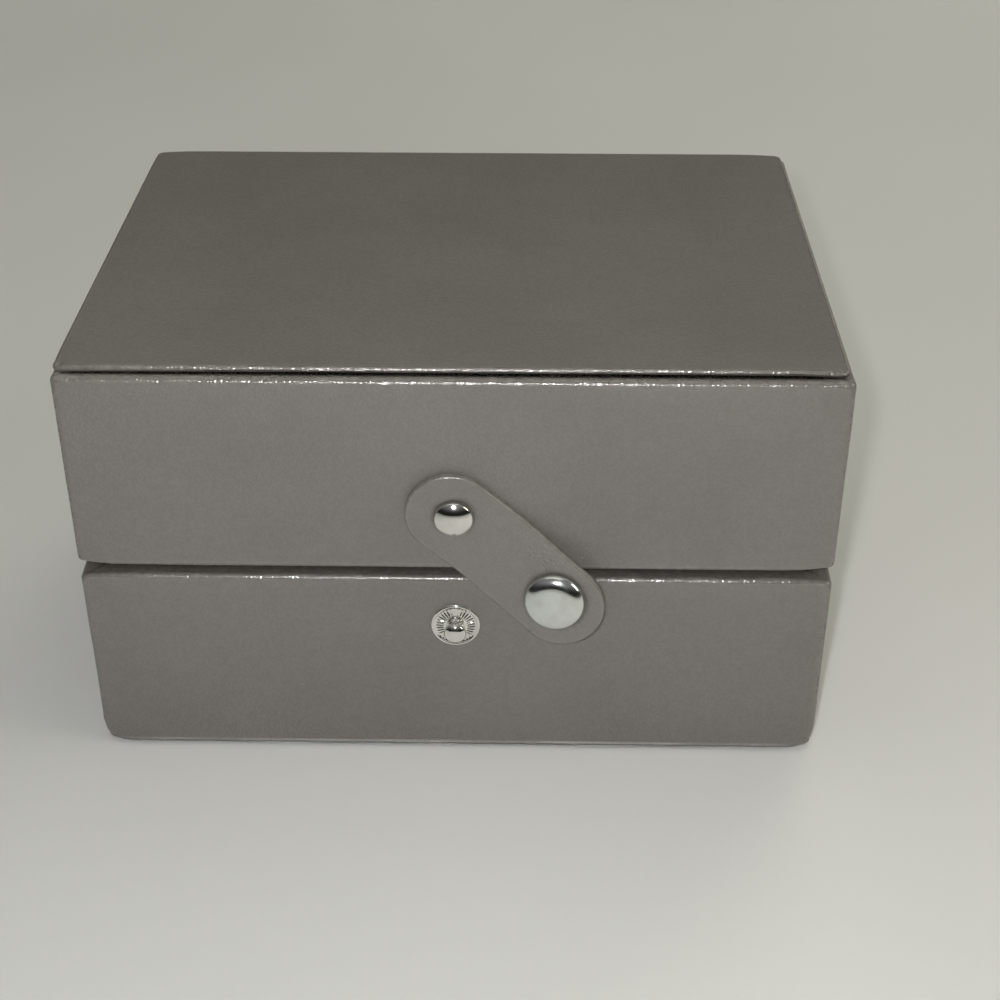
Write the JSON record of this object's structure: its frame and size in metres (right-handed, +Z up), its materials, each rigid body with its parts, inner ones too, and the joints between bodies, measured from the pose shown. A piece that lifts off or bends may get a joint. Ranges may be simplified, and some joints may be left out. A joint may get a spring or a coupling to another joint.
{
  "type": "travel jewelry box",
  "caption": "Leather-wrapped board jewelry box with a deep hinged lid, a snap strap at the front, velvet wells and a lift-out ring tray.",
  "frame": {"origin": "middle of the flat bottom that the box stands on", "axes": "+X to the right along the front, +Y from the front to the hinges at the back, +Z up"},
  "size_m": [0.15, 0.1232, 0.09],
  "materials": {
    "taupe_leather": "fine pebble grain, satin",
    "velvet": "short pile",
    "greyboard": "plain",
    "bright_nickel": "mirror polish",
    "nickel_steel": "nickel plate",
    "ribbon": "grosgrain"
  },
  "bodies": {
    "base": {"base_back_board": "greyboard", "base_back_divider": "velvet", "base_bottom_sheet": "taupe_leather", "base_floor_board": "greyboard", "base_floor_pad": "velvet", "base_front_board": "greyboard", "base_front_divider": "velvet", "base_hinge_screws": "nickel_steel", "base_left_board": "greyboard", "base_long_divider": "velvet", "base_right_board": "greyboard", "base_wall_cover": "taupe_leather", "base_wall_lining": "velvet", "left_hinge_base_leaf": "nickel_steel", "left_hinge_pin": "nickel_steel", "right_hinge_base_leaf": "nickel_steel", "right_hinge_pin": "nickel_steel", "snap_stud": "bright_nickel", "stud_backplate": "nickel_steel"},
    "lid": {"left_hinge_lid_leaf": "nickel_steel", "lid_back_board": "greyboard", "lid_ceiling_pad": "velvet", "lid_front_board": "greyboard", "lid_hinge_screws": "nickel_steel", "lid_left_board": "greyboard", "lid_right_board": "greyboard", "lid_top_board": "greyboard", "lid_top_cover": "taupe_leather", "lid_wall_cover": "taupe_leather", "lid_wall_lining": "velvet", "pivot_rivet": "bright_nickel", "right_hinge_lid_leaf": "nickel_steel", "rivet_backplate": "nickel_steel"},
    "tray": {"left_pull_ribbon": "ribbon", "right_pull_ribbon": "ribbon", "ring_roll_1": "velvet", "ring_roll_2": "velvet", "ring_roll_3": "velvet", "ring_roll_4": "velvet", "ring_roll_5": "velvet", "tray_back_wall": "velvet", "tray_cross_divider_1": "velvet", "tray_cross_divider_2": "velvet", "tray_floor": "velvet", "tray_front_wall": "velvet", "tray_left_wall": "velvet", "tray_long_divider": "velvet", "tray_right_wall": "velvet"},
    "strap": {"strap_head": "taupe_leather"},
    "strap_end": {"strap_tongue": "taupe_leather", "snap_cap": "bright_nickel", "snap_socket": "nickel_steel", "snap_spring": "nickel_steel"}
  },
  "joints": [
    {"name": "lid_hinge", "type": "hinge", "parent": "base", "child": "lid", "pos_m": [0, 0.0582, 0.045], "axis": [-1, 0, 0], "range_deg": [0, 180]},
    {"name": "tray_lift", "type": "slide", "parent": "base", "child": "tray", "axis": [0, 0, 1], "range_m": [0, 0.016]},
    {"name": "strap_swing", "type": "hinge", "parent": "lid", "child": "strap", "pos_m": [0, -0.0578, 0.0591], "axis": [0, -1, 0], "range_deg": [-22, 284]},
    {"name": "strap_lift", "type": "hinge", "parent": "strap", "child": "strap_end", "pos_m": [0.00714, -0.0578, 0.05283], "axis": [-0.66, 0, -0.7513], "range_deg": [0, 65], "stiffness_Nm_per_rad": 0.004}
  ]
}
